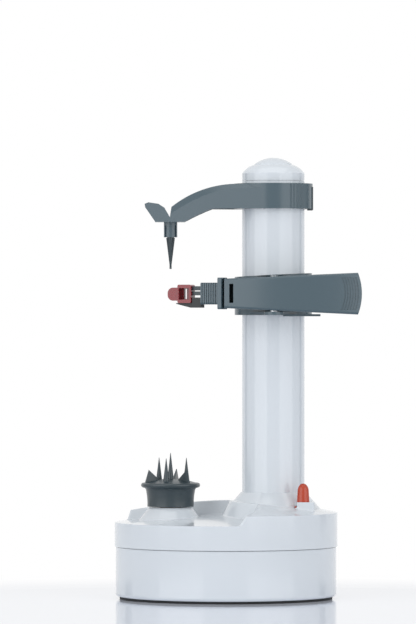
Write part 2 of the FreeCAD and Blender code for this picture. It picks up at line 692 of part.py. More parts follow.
def holder_shaft():
    journal = cyl(JOURNAL_R, PLATE_Z - 3, PLATE_TOP_Z + 0.3, HOLDER_X)
    shaft = cyl(SHAFT_R, PLATE_TOP_Z + 0.3, HOLDER_FLANGE_Z - 2, HOLDER_X)
    return journal.fuse(shaft)


def holder_bush():
    top = PEDESTAL_Z + 0.4
    sleeve = tube(BUSH_R, SHAFT_R + RUN_FIT, PEDESTAL_Z - CASE_WALL - 6, PEDESTAL_Z, HOLDER_X)
    flange = tube(BUSH_R + 2, SHAFT_R + RUN_FIT, PEDESTAL_Z, top, HOLDER_X)
    return sleeve.fuse(flange)


def food_holder():
    flange_top = HOLDER_FLANGE_Z + HOLDER_FLANGE_THICK
    round_r = HOLDER_FLANGE_THICK / 2
    x = HOLDER_X
    neck_z = HOLDER_FLANGE_Z - 1.4
    edge = HOLDER_R_FLANGE - round_r
    crown_r = HOLDER_R_FLANGE - 2.6
    crown_z = flange_top + HOLDER_CROWN
    hub_z = HOLDER_Z + 0.5
    inner = HOLDER_R_FOOT - HOLDER_WALL
    roof = HOLDER_FLANGE_Z - 2

    def p(r, z):
        return (x + r, 0, z)

    body = outline([
        [p(SHAFT_R, hub_z), p(SHAFT_R + 2.6, hub_z)],
        [p(SHAFT_R + 2.6, hub_z), p(SHAFT_R + 2.6, roof - 2)],
        [p(SHAFT_R + 2.6, roof - 2), p(inner, roof - 2)],
        [p(inner, roof - 2), p(inner, HOLDER_Z)],
        [p(inner, HOLDER_Z), p(HOLDER_R_FOOT, HOLDER_Z)],
        [p(HOLDER_R_FOOT, HOLDER_Z), p(HOLDER_R_FOOT + 0.15, HOLDER_Z + 6),
         p(HOLDER_R_NECK, neck_z)],
        [p(HOLDER_R_NECK, neck_z), p(HOLDER_R_NECK + 0.5, neck_z + 0.9),
         p(HOLDER_R_NECK + 1.4, HOLDER_FLANGE_Z)],
        [p(HOLDER_R_NECK + 1.4, HOLDER_FLANGE_Z), p(edge, HOLDER_FLANGE_Z)],
        [p(edge, HOLDER_FLANGE_Z), p(HOLDER_R_FLANGE, HOLDER_FLANGE_Z + round_r),
         p(edge, flange_top)],
        [p(edge, flange_top), p(crown_r, flange_top)],
        [p(crown_r, flange_top), p(*cap_middle(crown_r, flange_top, crown_z)), p(0, crown_z)],
        [p(0, crown_z), p(0, roof)],
        [p(0, roof), p(SHAFT_R, roof)],
        [p(SHAFT_R, roof), p(SHAFT_R, hub_z)],
    ]).revolve(V(x, 0, 0), V(0, 0, 1), 360)
    prongs = [cone(PIN_R + 0.5, 0.15, flange_top, PIN_TALL_Z, x)]
    for i in range(PRONGS):
        turn = PIN_FIRST_DEG + i * 360 / PRONGS
        px, py = on_circle(PIN_RING_R, turn, x)
        prongs.append(cone(PIN_R + 0.3, 0.15, flange_top, PIN_Z, px, py))
        prongs.append(holder_fin(turn + 180 / PRONGS, flange_top - 0.6))
    return join(body, *prongs)


def holder_fin(turn, foot_z):
    """A flat three-cornered prong that stands along a radius."""
    half = FIN_THICK / 2
    profile = [(FIN_R_IN, foot_z), (FIN_R_OUT, foot_z), (FIN_R_TIP, FIN_Z)]
    fin = prism_y(profile, -half, half)
    for side in (-1, 1):
        wedge = prism_x([(side * half, foot_z + 2), (side * 2 * half, foot_z + 2),
                         (side * 2 * half, FIN_Z + 1), (side * 0.15, FIN_Z + 1)],
                        FIN_R_IN - 1, FIN_R_OUT + 1)
        fin = fin.cut(wedge)
    fin.rotate(V(0, 0, 0), V(0, 0, 1), turn)
    fin.translate(V(HOLDER_X, 0, 0))
    return fin


def lead_screw():
    x = TOWER_X
    journal_top = TOWER_TOP_Z + CAP_GAP - SPIGOT_DEPTH + 2
    core = join(
        cyl(JOURNAL_R, PLATE_Z - 3, PLATE_TOP_Z + 0.3, x),
        cyl(SHAFT_R, PLATE_TOP_Z + 0.3, LEVEL_1 + GEAR_FACE, x),
        cyl(SCREW_CORE_R, LEVEL_1 + GEAR_FACE, journal_top - 4, x),
        cyl(JOURNAL_R, journal_top - 4, journal_top + 4, x),
    )
    helix = Part.makeHelix(SCREW_PITCH, SCREW_PITCH * THREAD_TURNS, SCREW_CORE_R)
    inside = SCREW_CORE_R - 0.3
    root = RIDGE_ROOT / 2
    crest = RIDGE_CREST / 2
    corners = [V(inside, 0, -root), V(SCREW_CREST_R, 0, -crest), V(SCREW_CREST_R, 0, crest),
               V(inside, 0, root)]
    profile = Part.makePolygon(corners + corners[:1])
    ridge = Part.Wire(helix).makePipeShell([profile], True, True)
    ridge.translate(V(x, 0, THREAD_FOOT_Z))
    return core.fuse(ridge)


def tower_tube():
    wall = tube(TOWER_R, TOWER_BORE, TOWER_FOOT_Z, TOWER_TOP_Z, TOWER_X)
    flange = tube(FLANGE_R, TOWER_BORE, TOWER_FOOT_Z, TOWER_FOOT_Z + FLANGE_THICK, TOWER_X)
    body = join(wall, flange)
    slot = box(TOWER_X - SLOT_HALF, TOWER_X + SLOT_HALF, TOWER_BORE - 4, TOWER_R + 2,
               SLOT_FOOT_Z, TOWER_TOP_Z + 1)
    body = body.cut(slot)
    for x, y in tower_screw_places():
        body = body.cut(cyl(SCREW_SHANK_R, TOWER_FOOT_Z - 1, TOWER_FOOT_Z + FLANGE_THICK + 1,
                            x, y))
    return body


def tower_cap():
    foot = TOWER_TOP_Z + CAP_GAP
    spigot = TOWER_BORE - SEAT_FIT
    x = TOWER_X

    def p(r, z):
        return (x + r, 0, z)

    bulge_r = (TOWER_R + CAP_STEP_R) / 2 + CAP_BULGE * 0.6
    bulge_z = (CAP_SHOULDER_Z + CAP_STEP_Z) / 2 + CAP_BULGE * 0.6
    dome_z = CAP_STEP_Z + 0.6
    bore = JOURNAL_R + RUN_FIT
    hub = JOURNAL_R + 2.4
    boss_z = foot - SPIGOT_DEPTH
    wall = spigot - SPIGOT_WALL
    roof = CAP_SHOULDER_Z - CASE_WALL
    cap = outline([
        [p(0, roof), p(bore, roof)],
        [p(bore, roof), p(bore, boss_z)],
        [p(bore, boss_z), p(hub, boss_z)],
        [p(hub, boss_z), p(hub, roof)],
        [p(hub, roof), p(wall, roof)],
        [p(wall, roof), p(wall, boss_z)],
        [p(wall, boss_z), p(spigot, boss_z)],
        [p(spigot, boss_z), p(spigot, foot)],
        [p(spigot, foot), p(TOWER_R, foot)],
        [p(TOWER_R, foot), p(TOWER_R, CAP_SHOULDER_Z)],
        [p(TOWER_R, CAP_SHOULDER_Z), p(bulge_r, bulge_z), p(CAP_STEP_R, CAP_STEP_Z)],
        [p(CAP_STEP_R, CAP_STEP_Z), p(CAP_DOME_R, CAP_STEP_Z)],
        [p(CAP_DOME_R, CAP_STEP_Z), p(CAP_DOME_R, dome_z)],
        [p(CAP_DOME_R, dome_z), p(*cap_middle(CAP_DOME_R, dome_z, CAP_TOP_Z)),
         p(0, CAP_TOP_Z)],
        [p(0, CAP_TOP_Z), p(0, roof)],
    ])
    return cap.revolve(V(x, 0, 0), V(0, 0, 1), 360)


def start_button():
    x, y = BUTTON_X, BUTTON_Y
    flange_z = BUTTON_SEAT_Z - PAD_ROOF - 0.2
    dome = Part.makeSphere(1.0)
    crown = 5.2
    stretch = FreeCAD.Matrix()
    stretch.scale(V(BUTTON_R * 0.9, BUTTON_R * 0.9, crown))
    dome = dome.transformGeometry(stretch)
    dome.translate(V(x, y, BUTTON_TOP_Z - crown))
    stem = cone(BUTTON_R, BUTTON_R * 0.9, BUTTON_SEAT_Z, BUTTON_TOP_Z - crown, x, y)
    guide = cyl(BUTTON_R, flange_z - 1.5, BUTTON_SEAT_Z, x, y)
    flange = cyl(BUTTON_FLANGE_R, flange_z - 1.5, flange_z, x, y)
    plunger = cyl(1.2, SWITCH_TOP_Z + BUTTON_TRAVEL + 0.3, flange_z - 1.5, x, y)
    return join(dome, stem, guide, flange, plunger)


def coil(r, wire, z0, z1, turns, x, y):
    """A spring of square wire between two heights."""
    half = wire / 2
    height = z1 - z0 - wire
    helix = Part.makeHelix(height / turns, height, r)
    corners = [V(r - half, 0, -half), V(r + half, 0, -half), V(r + half, 0, half),
               V(r - half, 0, half)]
    profile = Part.makePolygon(corners + corners[:1])
    spring = Part.Wire(helix).makePipeShell([profile], True, True)
    spring.translate(V(x, y, z0 + half))
    return spring


def button_spring():
    top = BUTTON_SEAT_Z - PAD_ROOF - 0.2 - 1.5
    return coil(3.4, 0.6, SWITCH_TOP_Z, top, 3.5, BUTTON_X, BUTTON_Y)


def start_switch():
    body = box(BUTTON_X - 5, BUTTON_X + 5, BUTTON_Y - 4, BUTTON_Y + 4, SWITCH_TOP_Z - 8,
               SWITCH_TOP_Z)
    pads = [box(BUTTON_X + s * 6 - 1, BUTTON_X + s * 6 + 1, BUTTON_Y - 1.5, BUTTON_Y + 1.5,
                SWITCH_TOP_Z - 7, SWITCH_TOP_Z - 3) for s in (-1, 1)]
    return join(body, *pads)


def dc_socket():
    face = LOWER_R - 0.8
    back = LOWER_R - 13
    block = box(SOCKET_X - SOCKET_HALF, SOCKET_X + SOCKET_HALF, back, LOWER_R - 5,
                SOCKET_Z - SOCKET_HALF, SOCKET_Z + SOCKET_HALF)
    barrel = rod_y(SOCKET_BARREL_R, LOWER_R - 5, face, SOCKET_X, SOCKET_Z)
    body = join(block, barrel)
    body = body.cut(rod_y(SOCKET_BORE_R, LOWER_R - 11, face + 1, SOCKET_X, SOCKET_Z))
    pin = rod_y(SOCKET_PIN_R, LOWER_R - 11, face - 0.5, SOCKET_X, SOCKET_Z)
    return join(body, pin)


def clevis_plate(z0, z1):
    """One ear of the carriage, from the collar out to the pivot."""
    reach = LOBE_PIVOT_R
    ear = prism_z([(TOWER_X - 17, -17), (TOWER_X + 17, -17), (TOWER_X + reach, PIVOT_Y),
                   (TOWER_X - reach, PIVOT_Y)], z0, z1)
    return join(ear, cyl(reach, z0, z1, TOWER_X, PIVOT_Y))


def carriage_collar():
    high = ARM_RIGHT_HIGH_Z + 3
    ring = tube(CARRIAGE_R, COLLAR_BORE, CARRIAGE_FOOT_Z, high, TOWER_X)
    low_ear = clevis_plate(CARRIAGE_FOOT_Z, CARRIAGE_FOOT_Z + CLEVIS_THICK)
    top_ear = clevis_plate(CARRIAGE_TOP_Z + 0.7, high)
    lug = box(TOWER_X - 8, TOWER_X + 8, TOWER_R, CARRIAGE_R + 5, CARRIAGE_FOOT_Z + 3,
              CARRIAGE_TOP_Z - 3)
    stop = prism_z([(TOWER_X + 8, -22), (TOWER_X + 30.5, -24), (TOWER_X + 30.5, -30),
                    (TOWER_X + 6, -32)], CARRIAGE_FOOT_Z - 0.8, CARRIAGE_FOOT_Z + 0.6)
    body = join(ring, low_ear, top_ear, lug, stop)
    body = body.cut(cyl(COLLAR_BORE, CARRIAGE_FOOT_Z - 2, high + 1, TOWER_X))
    slope = [(-20, CARRIAGE_TOP_Z), (120, CARRIAGE_TOP_Z + 140 * CARRIAGE_TOP_RISE),
             (120, high + 5), (-20, high + 5)]
    lift = CARRIAGE_TOP_RISE * (TOWER_X - CARRIAGE_R + 20)
    cutter = prism_y([(x, z - lift) for x, z in slope], -80, 80)
    body = body.cut(cutter)
    body = body.cut(cyl(PIVOT_R, CARRIAGE_FOOT_Z - 2, high + 1, TOWER_X, PIVOT_Y))
    return body.cut(follower_block())


def follower_block():
    half = SLOT_HALF - SLIDE_FIT
    return box(TOWER_X - half, TOWER_X + half, SCREW_CREST_R + 0.8, CARRIAGE_R + 2,
               FOLLOWER_Z - FOLLOWER_HALF_Z, FOLLOWER_Z + FOLLOWER_HALF_Z)


def screw_follower():
    tip = SCREW_CORE_R + SLIDE_FIT
    root = SCREW_CREST_R + 0.8
    finger = Part.makeCone(1.35, 0.8, root - tip, V(TOWER_X, root, FOLLOWER_Z), V(0, -1, 0))
    return join(follower_block(), finger)


def arm_pivot_pin():
    return cyl(PIVOT_R, CARRIAGE_FOOT_Z, CARRIAGE_TOP_Z + 1.3, TOWER_X, PIVOT_Y)


def arm_spring():
    return coil(PIVOT_R + 1.2, 0.8, FOLLOWER_Z - 6, FOLLOWER_Z + 2, 3.5, TOWER_X, PIVOT_Y)


def arm_side(inset):
    """The peeling arm seen from the front, as a slab across its whole depth."""
    left, grip, tip = ARM_LEFT_X + inset, ARM_GRIP_X - inset, ARM_RIGHT_X - inset
    y = -60.0
    low = (left, y, ARM_LEFT_LOW_Z + inset), (grip, y, ARM_RIGHT_LOW_Z + inset)
    high = (grip, y, ARM_RIGHT_HIGH_Z - inset), (left, y, ARM_LEFT_HIGH_Z - inset)
    face = outline([
        [low[0], low[1]],
        [low[1], (tip, y, ARM_MIDDLE_Z), high[0]],
        [high[0], high[1]],
        [high[1], low[0]],
    ])
    return face.extrude(V(0, 50, 0))


def arm_plan(front, back):
    """The peeling arm seen from above: bowed round the tower towards the food."""
    z = 180.0
    ends = ARM_LEFT_X, ARM_RIGHT_X + 1
    middle = TOWER_X + 4
    face = outline([
        [(ends[0], -37.2 + front, z), (middle, -46.5 + front, z), (ends[1], -43.5 + front, z)],
        [(ends[1], -43.5 + front, z), (ends[1], -33.0 + back, z)],
        [(ends[1], -33.0 + back, z), (middle, -32.2 + back, z), (ends[0], -25.6 + back, z)],
        [(ends[0], -25.6 + back, z), (ends[0], -37.2 + front, z)],
    ])
    return face.extrude(V(0, 0, 45))


def peeling_arm():
    body = arm_side(0).common(arm_plan(0, 0))
    front = edges_where(body, lambda e: e.BoundBox.YMax < -36.5 and e.BoundBox.XLength > 20)
    body = body.makeFillet(ARM_ROUND, front)
    hollow = arm_side(ARM_SKIN).common(arm_plan(ARM_SKIN, 10))
    body = body.cut(hollow)
    boss = cyl(PIVOT_R + 2.0, ARM_LEFT_LOW_Z, CARRIAGE_TOP_Z, TOWER_X, PIVOT_Y)
    body = join(body, boss.common(arm_side(0.3)), head_flange())
    body = body.cut(cyl(PIVOT_R + RUN_FIT, 180, 220, TOWER_X, PIVOT_Y))
    pocket = tube(PIVOT_R + 2.3, PIVOT_R, FOLLOWER_Z - 6.4, FOLLOWER_Z + 2.4, TOWER_X, PIVOT_Y)
    body = body.cut(pocket)
    body = body.cut(box(TOWER_X - 9, TOWER_X + EAR_SWEEP, -43, -20, CARRIAGE_TOP_Z + 0.3, 220))
    body = body.cut(box(TOWER_X + 9, TOWER_X + EAR_SWEEP, -43, -20, 180,
                        CARRIAGE_FOOT_Z + CLEVIS_THICK + SLIDE_FIT))
    body = body.cut(box(2.0, 4.6, -60, -20, 195.0, 207.4))
    skin = arm_plan(-2, 0).cut(arm_plan(GRIP_DEPTH, 0))
    centre_x = ARM_RIGHT_X - 37.4
    for i in range(GRIP_GROOVES):
        r = 37.4 - 2.2 - GRIP_PITCH * i
        groove = rod_y(r, -50, -40, centre_x, ARM_MIDDLE_Z).common(skin)
        groove = groove.cut(rod_y(r - GRIP_WIDTH, -51, -39, centre_x, ARM_MIDDLE_Z))
        groove = groove.common(box(70, 95, -60, -20, ARM_RIGHT_LOW_Z + 3,
                                   ARM_RIGHT_HIGH_Z - 3))
        body = body.cut(groove)
    return body


def arm_back_cover():
    """A lid let into the open back of the arm, notched round the pivot."""
    lid = arm_side(ARM_SKIN + SEAT_FIT).common(arm_plan(9.5, 0))
    return lid.cut(cyl(PIVOT_R + 2.5, 180, 220, TOWER_X, PIVOT_Y))


def place_head(shape):
    shape.rotate(V(0, 0, 0), V(0, 0, 1), -HEAD_YAW)
    shape.translate(V(HEAD_X, HEAD_Y, 0))
    return shape


def along(x):
    """The place along the head's axis that shows at x in a front view."""
    return (x - HEAD_X) / math.cos(math.radians(HEAD_YAW))


def head_flange():
    plate = box(along(-3.8), along(-1.3), -6.2, 6.2, 190.8, 211.5)
    edges = edges_where(plate, lambda e: abs(e.tangentAt(e.FirstParameter).x) > 0.9)
    return place_head(plate.makeFillet(1.2, edges))


def blade_neck():
    neck = box(along(-15.4), along(-3.8), -4.6, 4.6, 193.9, 208.2)
    edges = edges_where(neck, lambda e: abs(e.tangentAt(e.FirstParameter).x) > 0.9)
    neck = neck.makeFillet(1.4, edges)
    ribs = 8
    pitch = (along(-3.8) - along(-15.4)) / ribs
    for i in range(ribs):
        x0 = along(-15.4) + pitch * (i + 0.62)
        ring = box(x0, x0 + pitch * 0.36, -9, 9, 190, 212)
        ring = ring.cut(box(x0 - 1, x0 + pitch, -4.0, 4.0, 194.5, 207.6))
        neck = neck.cut(ring)
    for low, high in ((199.9, 202.5), (203.1, 205.9)):
        neck = neck.cut(box(along(-15.4) - 1, along(-13.0), -1.4, 1.4, low, high))
    return place_head(neck)


def blade_stem():
    """The two flat prongs that carry the blade frame."""
    prongs = []
    for low, high in ((199.9, 202.5), (203.1, 205.9)):
        prongs.append(box(along(-21.8), along(-13.0), -1.4, 1.4, low, high))
    return place_head(Part.makeCompound(prongs))


def blade_guard():
    """The dark lower guide under the blade frame."""
    block = box(along(-21.2), along(-15.4), -3.4, 3.4, 191.8, 198.5)
    wedge = prism_y([(along(-31.9), 194.9), (along(-31.9), 194.3), (along(-22.5), 191.8),
                     (along(-21.2), 191.8), (along(-21.2), 194.9)], -2.6, 2.6)
    return place_head(join(block, wedge))


def blade_frame():
    """The clear red frame: a rounded nose ahead of the window that the peel passes through."""
    nose = box(along(-37.2), along(-30.6), -3.6, 3.6, 196.4, 205.0)
    tip = edges_where(nose, lambda e: e.BoundBox.XMax < along(-37.2) + 0.1
                      and e.BoundBox.YLength > 1)
    nose = nose.makeFillet(NOSE_ROUND, tip)
    frame = box(along(-30.6), along(-21.8), -4.2, 4.2, 194.9, 206.9)
    edges = edges_where(frame, lambda e: abs(e.tangentAt(e.FirstParameter).y) > 0.9)
    frame = frame.makeFillet(1.0, edges)
    frame = frame.cut(box(along(-29.8), along(-22.9), -9, 1.2, 197.1, 204.7))
    frame = frame.cut(box(along(-27.8), along(-26.2), -9, 9, 197.6, 204.2))
    frame = frame.cut(box(along(-27.8), along(-25.2), 2.6, 9, 197.3, 204.5))
    body = join(nose, frame)
    return place_head(body.cut(blade_sheet(0)))


def blade_sheet(slit):
    """The steel strip across the window, on the side that faces the food."""
    sheet = box(along(-30.2), along(-22.3), 2.6, 3.2, 196.2, 205.6)
    if slit:
        sheet = sheet.cut(box(along(-27.6), along(-26.2), 0, 9, 197.6, 204.2))
    return sheet


def blade():
    edge = prism_z([(along(-26.2), 3.2), (along(-26.9), 4.4), (along(-26.6), 4.4),
                    (along(-25.6), 3.2)], 197.6, 204.2)
    return place_head(join(blade_sheet(1), edge))


def upper_side(inset):
    """The upper arm seen from the front: an arch from the collar down to the spike."""
    y = -40.0

    def p(x, z):
        return (x, y, z)

    lift = inset
    face = outline([
        [p(TOWER_X, UPPER_TOP_Z - lift), p(9.0, UPPER_TOP_Z - 0.4 - lift)],
        [p(9.0, UPPER_TOP_Z - 0.4 - lift), p(-19.3, 268.0 - lift), p(-36.0, 258.2 - lift)],
        [p(-36.0, 258.2 - lift), p(-37.0, 251.5 - lift)],
        [p(-37.0, 251.5 - lift), p(-40.6, 257.7 - lift)],
        [p(-40.6, 257.7 - lift), p(-44.6, 260.3 - lift)],
        [p(-44.6, 260.3 - lift), p(-51.2, 261.3 - lift)],
        [p(-51.2, 261.3 - lift), p(-53.7, 260.3 - lift)],
        [p(-53.7, 260.3 - lift), p(-53.3, 258.0 - lift)],
        [p(-53.3, 258.0 - lift), p(-46.6, SPIKE_TOP_Z - lift)],
        [p(-46.6, SPIKE_TOP_Z - lift), p(-27.3, SPIKE_TOP_Z - lift)],
        [p(-27.3, SPIKE_TOP_Z - lift), p(-19.5, 252.4 - lift), p(-9.0, UPPER_FOOT_Z - lift)],
        [p(-9.0, UPPER_FOOT_Z - lift), p(TOWER_X, UPPER_FOOT_Z - lift)],
        [p(TOWER_X, UPPER_FOOT_Z - lift), p(TOWER_X, UPPER_TOP_Z - lift)],
    ])
    return face.extrude(V(0, 80, 0))


def upper_plan(inset, z0, z1):
    """The upper arm seen from above: sides that run from the collar's flanks to the tip."""
    root = UPPER_R - 0.8 - inset
    half = UPPER_TIP_HALF - inset
    lip = half * 0.55
    points = [(24.9, -root), (-37.0, -half), (-53.9, -lip), (-53.9, lip), (-37.0, half),
              (24.9, root)]
    return prism_z(points, z0, z1)


def is_arch_shoulder(edge):
    """True for the long top edges on both sides of the arch."""
    middle = edge.valueAt((edge.FirstParameter + edge.LastParameter) / 2)
    return abs(middle.y) > 8 and middle.z > 262 and middle.x < 20 and edge.Length > 10


def upper_arm():
    arch = upper_side(0).common(upper_plan(0, 240, 280))
    arch = arch.makeChamfer(UPPER_BAND, edges_where(arch, is_arch_shoulder))
    hollow = upper_side(3.0).common(upper_plan(2.6, 240, 280))
    hollow = hollow.common(box(-26, 40, -40, 40, 230, 280))
    arch = arch.cut(hollow)
    ring = cyl(UPPER_R, UPPER_FOOT_Z, UPPER_TOP_Z, TOWER_X)
    boss = cyl(SPIKE_BOSS_R, SPIKE_SHOULDER_Z, SPIKE_TOP_Z + 1, HOLDER_X)
    body = join(arch, ring, boss)
    body = body.cut(cyl(COLLAR_BORE, UPPER_FOOT_Z - 1, UPPER_TOP_Z + 1, TOWER_X))
    key = SLOT_HALF - SLIDE_FIT
    body = join(body, box(TOWER_X - key, TOWER_X + key, TOWER_BORE + 0.6, UPPER_R - 2,
                          UPPER_FOOT_Z + 1, UPPER_FOOT_Z + 9))
    body = body.cut(cyl(SPIKE_SHANK_R + RUN_FIT, SPIKE_SHOULDER_Z - 1, SPIKE_HEAD_Z + 0.4,
                        HOLDER_X))
    body = body.cut(cyl(SPIKE_SNAP_R + RUN_FIT, SPIKE_SNAP_Z - 0.3,
                        SPIKE_SNAP_Z + SPIKE_SNAP_HIGH + 0.3, HOLDER_X))
    reach = SPIKE_BOSS_R + 1
    for turn in (45, 135):
        slot = box(-reach, reach, -BOSS_SLOT / 2, BOSS_SLOT / 2, SPIKE_SHOULDER_Z - 1,
                   SPIKE_HEAD_Z - 1)
        slot.rotate(V(0, 0, 0), V(0, 0, 1), turn)
        slot.translate(V(HOLDER_X, 0, 0))
        body = body.cut(slot)
    for i in range(GRIP_RIBS):
        gx, gy = on_circle(UPPER_R + 0.3, -64 + 5.0 * i, TOWER_X)
        body = body.cut(cyl(0.8, UPPER_FOOT_Z - 1, UPPER_TOP_Z + 1, gx, gy))
    return body.cut(release_block(SLIDE_FIT, RELEASE_TRAVEL))


def release_block(play, travel):
    inner = TOWER_X + TOWER_R + 1.8 - travel - play
    outer = TOWER_X + UPPER_R + 0.2 + (5 if travel else 0)
    foot = UPPER_FOOT_Z - 1.0 - (5 if travel else 0)
    return box(inner, outer, -6.0 - play, 6.0 + play, foot, UPPER_TOP_Z - 2.0 + play)


def arm_release_button():
    block = release_block(0, 0)
    edges = edges_where(block, lambda e: e.BoundBox.XMin > TOWER_X + UPPER_R)
    return block.makeFillet(0.6, edges)


def upper_spike():
    ring = cyl(SPIKE_SNAP_R, SPIKE_SNAP_Z, SPIKE_SNAP_Z + SPIKE_SNAP_HIGH, HOLDER_X)
    shank = cyl(SPIKE_SHANK_R, SPIKE_SHOULDER_Z - 0.4, SPIKE_HEAD_Z, HOLDER_X)
    blades = []
    for turn in (0, 90):
        wing = prism_y([(-SPIKE_HALF, SPIKE_SHOULDER_Z - 0.4), (SPIKE_HALF,
                        SPIKE_SHOULDER_Z - 0.4), (0.35, SPIKE_TIP_Z), (-0.35, SPIKE_TIP_Z)],
                       -0.7, 0.7)
        wing.rotate(V(0, 0, 0), V(0, 0, 1), turn)
        wing.translate(V(HOLDER_X, 0, 0))
        blades.append(wing)
    core = cone(0.5, 1.7, SPIKE_TIP_Z + 2, SPIKE_SHOULDER_Z - 0.4, HOLDER_X)
    return join(shank, ring, core, *blades)


def main():
    os.makedirs("parts", exist_ok=True)
    case_places = [on_circle(CASE_SCREW_R, a) for a in CASE_SCREW_DEG]
    save("foot_ring", foot_ring())
    save("base_lower_shell", base_lower_shell())
    save("base_upper_cover", base_upper_cover())
    save("battery_cover", battery_cover())
    save("battery_cells", battery_cells())
    save("battery_contacts", battery_contacts())
    save("gear_plate", gear_plate())
    save("gear_axles", gear_axles())
    save("lower_bushes", lower_bushes())
    save("plate_screws", screws(PLATE_POSTS, PLATE_TOP_Z, PLATE_Z - 9, False))
    save("case_screws", screws(case_places, CASE_SCREW_HEAD_Z, CASE_SCREW_TIP_Z, True))
    save("motor_body", motor_body())
    save("motor_shaft", motor_shaft())
    save("motor_pinion", motor_pinion())
    save("first_gear", first_gear())
    save("second_gear", second_gear())
    save("holder_gear", output_gear(HOLDER_X, HOLDER_TURN))
    save("screw_gear", output_gear(TOWER_X, SCREW_TURN))
    save("holder_shaft", holder_shaft())
    save("holder_bush", holder_bush())
    save("food_holder", food_holder())
    save("lead_screw", lead_screw())
    save("tower_tube", tower_tube())
    save("tower_screws", screws(tower_screw_places(), TOWER_FOOT_Z - SCREW_HEAD,
                                FLARE_FOOT_Z - 2, True))
    save("tower_cap", tower_cap())
    save("start_button", start_button())
    save("button_spring", button_spring())
    save("start_switch", start_switch())
    save("dc_socket", dc_socket())
    save("carriage_collar", carriage_collar())
    save("screw_follower", screw_follower())
    save("arm_pivot_pin", arm_pivot_pin())
    save("arm_spring", arm_spring())
    save("peeling_arm", peeling_arm())
    save("arm_back_cover", arm_back_cover())
    save("blade_neck", blade_neck())
    save("blade_stem", blade_stem())
    save("blade_guard", blade_guard())
    save("blade_frame", blade_frame())
    save("blade", blade())
    save("upper_arm", upper_arm())
    save("arm_release_button", arm_release_button())
    save("upper_spike", upper_spike())


main()
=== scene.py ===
# %% [markdown]
# # An electric potato peeler
#
# A countertop machine that peels a potato by itself. The potato is pinned between a turning
# spiked holder and a spike on the arm above. A lead screw inside the tower walks a sprung arm
# with a small blade up and down while the potato turns.
#
# The measured model comes in ready made, so this script gives it its finishes, its light and
# its camera. It could be done by hand in Blender's editor. A script was chosen so that every
# value can be read and changed.

# %% Load the measured model
import json
import math

import bpy
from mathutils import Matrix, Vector

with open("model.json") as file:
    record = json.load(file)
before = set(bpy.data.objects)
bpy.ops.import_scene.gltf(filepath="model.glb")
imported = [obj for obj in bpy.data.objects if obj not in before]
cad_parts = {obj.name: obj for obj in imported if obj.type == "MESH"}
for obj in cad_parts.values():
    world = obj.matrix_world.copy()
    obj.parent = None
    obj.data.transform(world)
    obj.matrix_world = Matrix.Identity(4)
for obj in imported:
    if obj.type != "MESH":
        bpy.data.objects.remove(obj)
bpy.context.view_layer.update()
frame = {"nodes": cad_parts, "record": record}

NODES = frame["nodes"]

# %% [markdown]
# ## Two small helpers
#
# Colours are picked on a screen as sRGB, and Blender mixes light in linear values, so one
# function turns a hex colour to linear. Another adds one shader node with its settings and its
# links. A function for each kind of node would be longer and would teach less.

# %% Helpers for colour and nodes
MM = 0.001


def linear(hex_colour):
    """An sRGB hex colour as linear red, green, blue and alpha."""
    values = [int(hex_colour[i:i + 2], 16) / 255 for i in (1, 3, 5)]
    return [v / 12.92 if v <= 0.04045 else ((v + 0.055) / 1.055) ** 2.4 for v in values] + [1.0]


def add_node(material, kind, settings=(), links=()):
    """A shader node: settings by attribute or socket name, and (socket, output) links in."""
    node = material.node_tree.nodes.new(kind)
    for name, value in dict(settings).items():
        if isinstance(name, str) and hasattr(node, name):
            setattr(node, name, value)
        else:
            node.inputs[name].default_value = value
    for name, output in dict(links).items():
        material.node_tree.links.new(output, node.inputs[name])
    return node


def new_material(name, settings):
    """A material with one Principled shader and these settings on its sockets."""
    material = bpy.data.materials.new(name)
    material.use_nodes = True
    shader = material.node_tree.nodes["Principled BSDF"]
    for socket, value in settings.items():
        shader.inputs[socket].default_value = value
    return material, shader


print("white is", linear("#FFFFFF"))

# %% [markdown]
# ## Moulded skin
#
# Injection-moulded plastic is never a perfect mirror. The steel mould's polish and the way the
# plastic shrinks leave waves of some thousandths of a millimetre, some millimetres apart. An
# image texture could hold that, but a noise texture in object coordinates needs no unwrapping
# and keeps a true size, so the same helper serves each plastic with its own spacing and depth.

# %% A helper for surface waves
def moulded_skin(material, shader, spacing_mm, depth_mm, detail=2.0):
    """Waves this far apart and this deep, on the shader's normal."""
    place = add_node(material, "ShaderNodeTexCoord")
    waves = add_node(material, "ShaderNodeTexNoise",
                     {"Scale": 1 / (spacing_mm * MM), "Detail": detail, "Roughness": 0.5},
                     {"Vector": place.outputs["Object"]})
    bump = add_node(material, "ShaderNodeBump", {"Strength": 1.0, "Distance": depth_mm * MM},
                    {"Height": waves.outputs["Fac"]})
    material.node_tree.links.new(bump.outputs["Normal"], shader.inputs["Normal"])


print("moulded skin ready")

# %% [markdown]
# ## Pearl white ABS
#
# The base and the tower are moulded from glossy white ABS with a cool tint. ABS has an IOR of
# about 1.54. A polished mould gives it a clear shine: the highlight on the tower is a tall
# bright streak, and the dish mirrors the foot of the food holder. The waves in it are shallow,
# so that the mirror image stays whole.

# %% Pearl white ABS, polished mould
ABS_IOR = 1.54
pearl_white_abs, shader = new_material("pearl_white_abs", {
    "Base Color": linear("#DFE5EA"),
    "Roughness": 0.09,
    "IOR": ABS_IOR,
})
moulded_skin(pearl_white_abs, shader, spacing_mm=11.0, depth_mm=0.006)
print("made", pearl_white_abs.name)

# %% [markdown]
# ## Blue-grey ABS
#
# Both arms are moulded from ABS coloured blue-grey all through. Their mould was vapour blasted,
# which leaves a satin skin: the highlight is wide and soft. The grain is finer than a pixel, so
# it is drawn a little coarser to show as a soft surface.

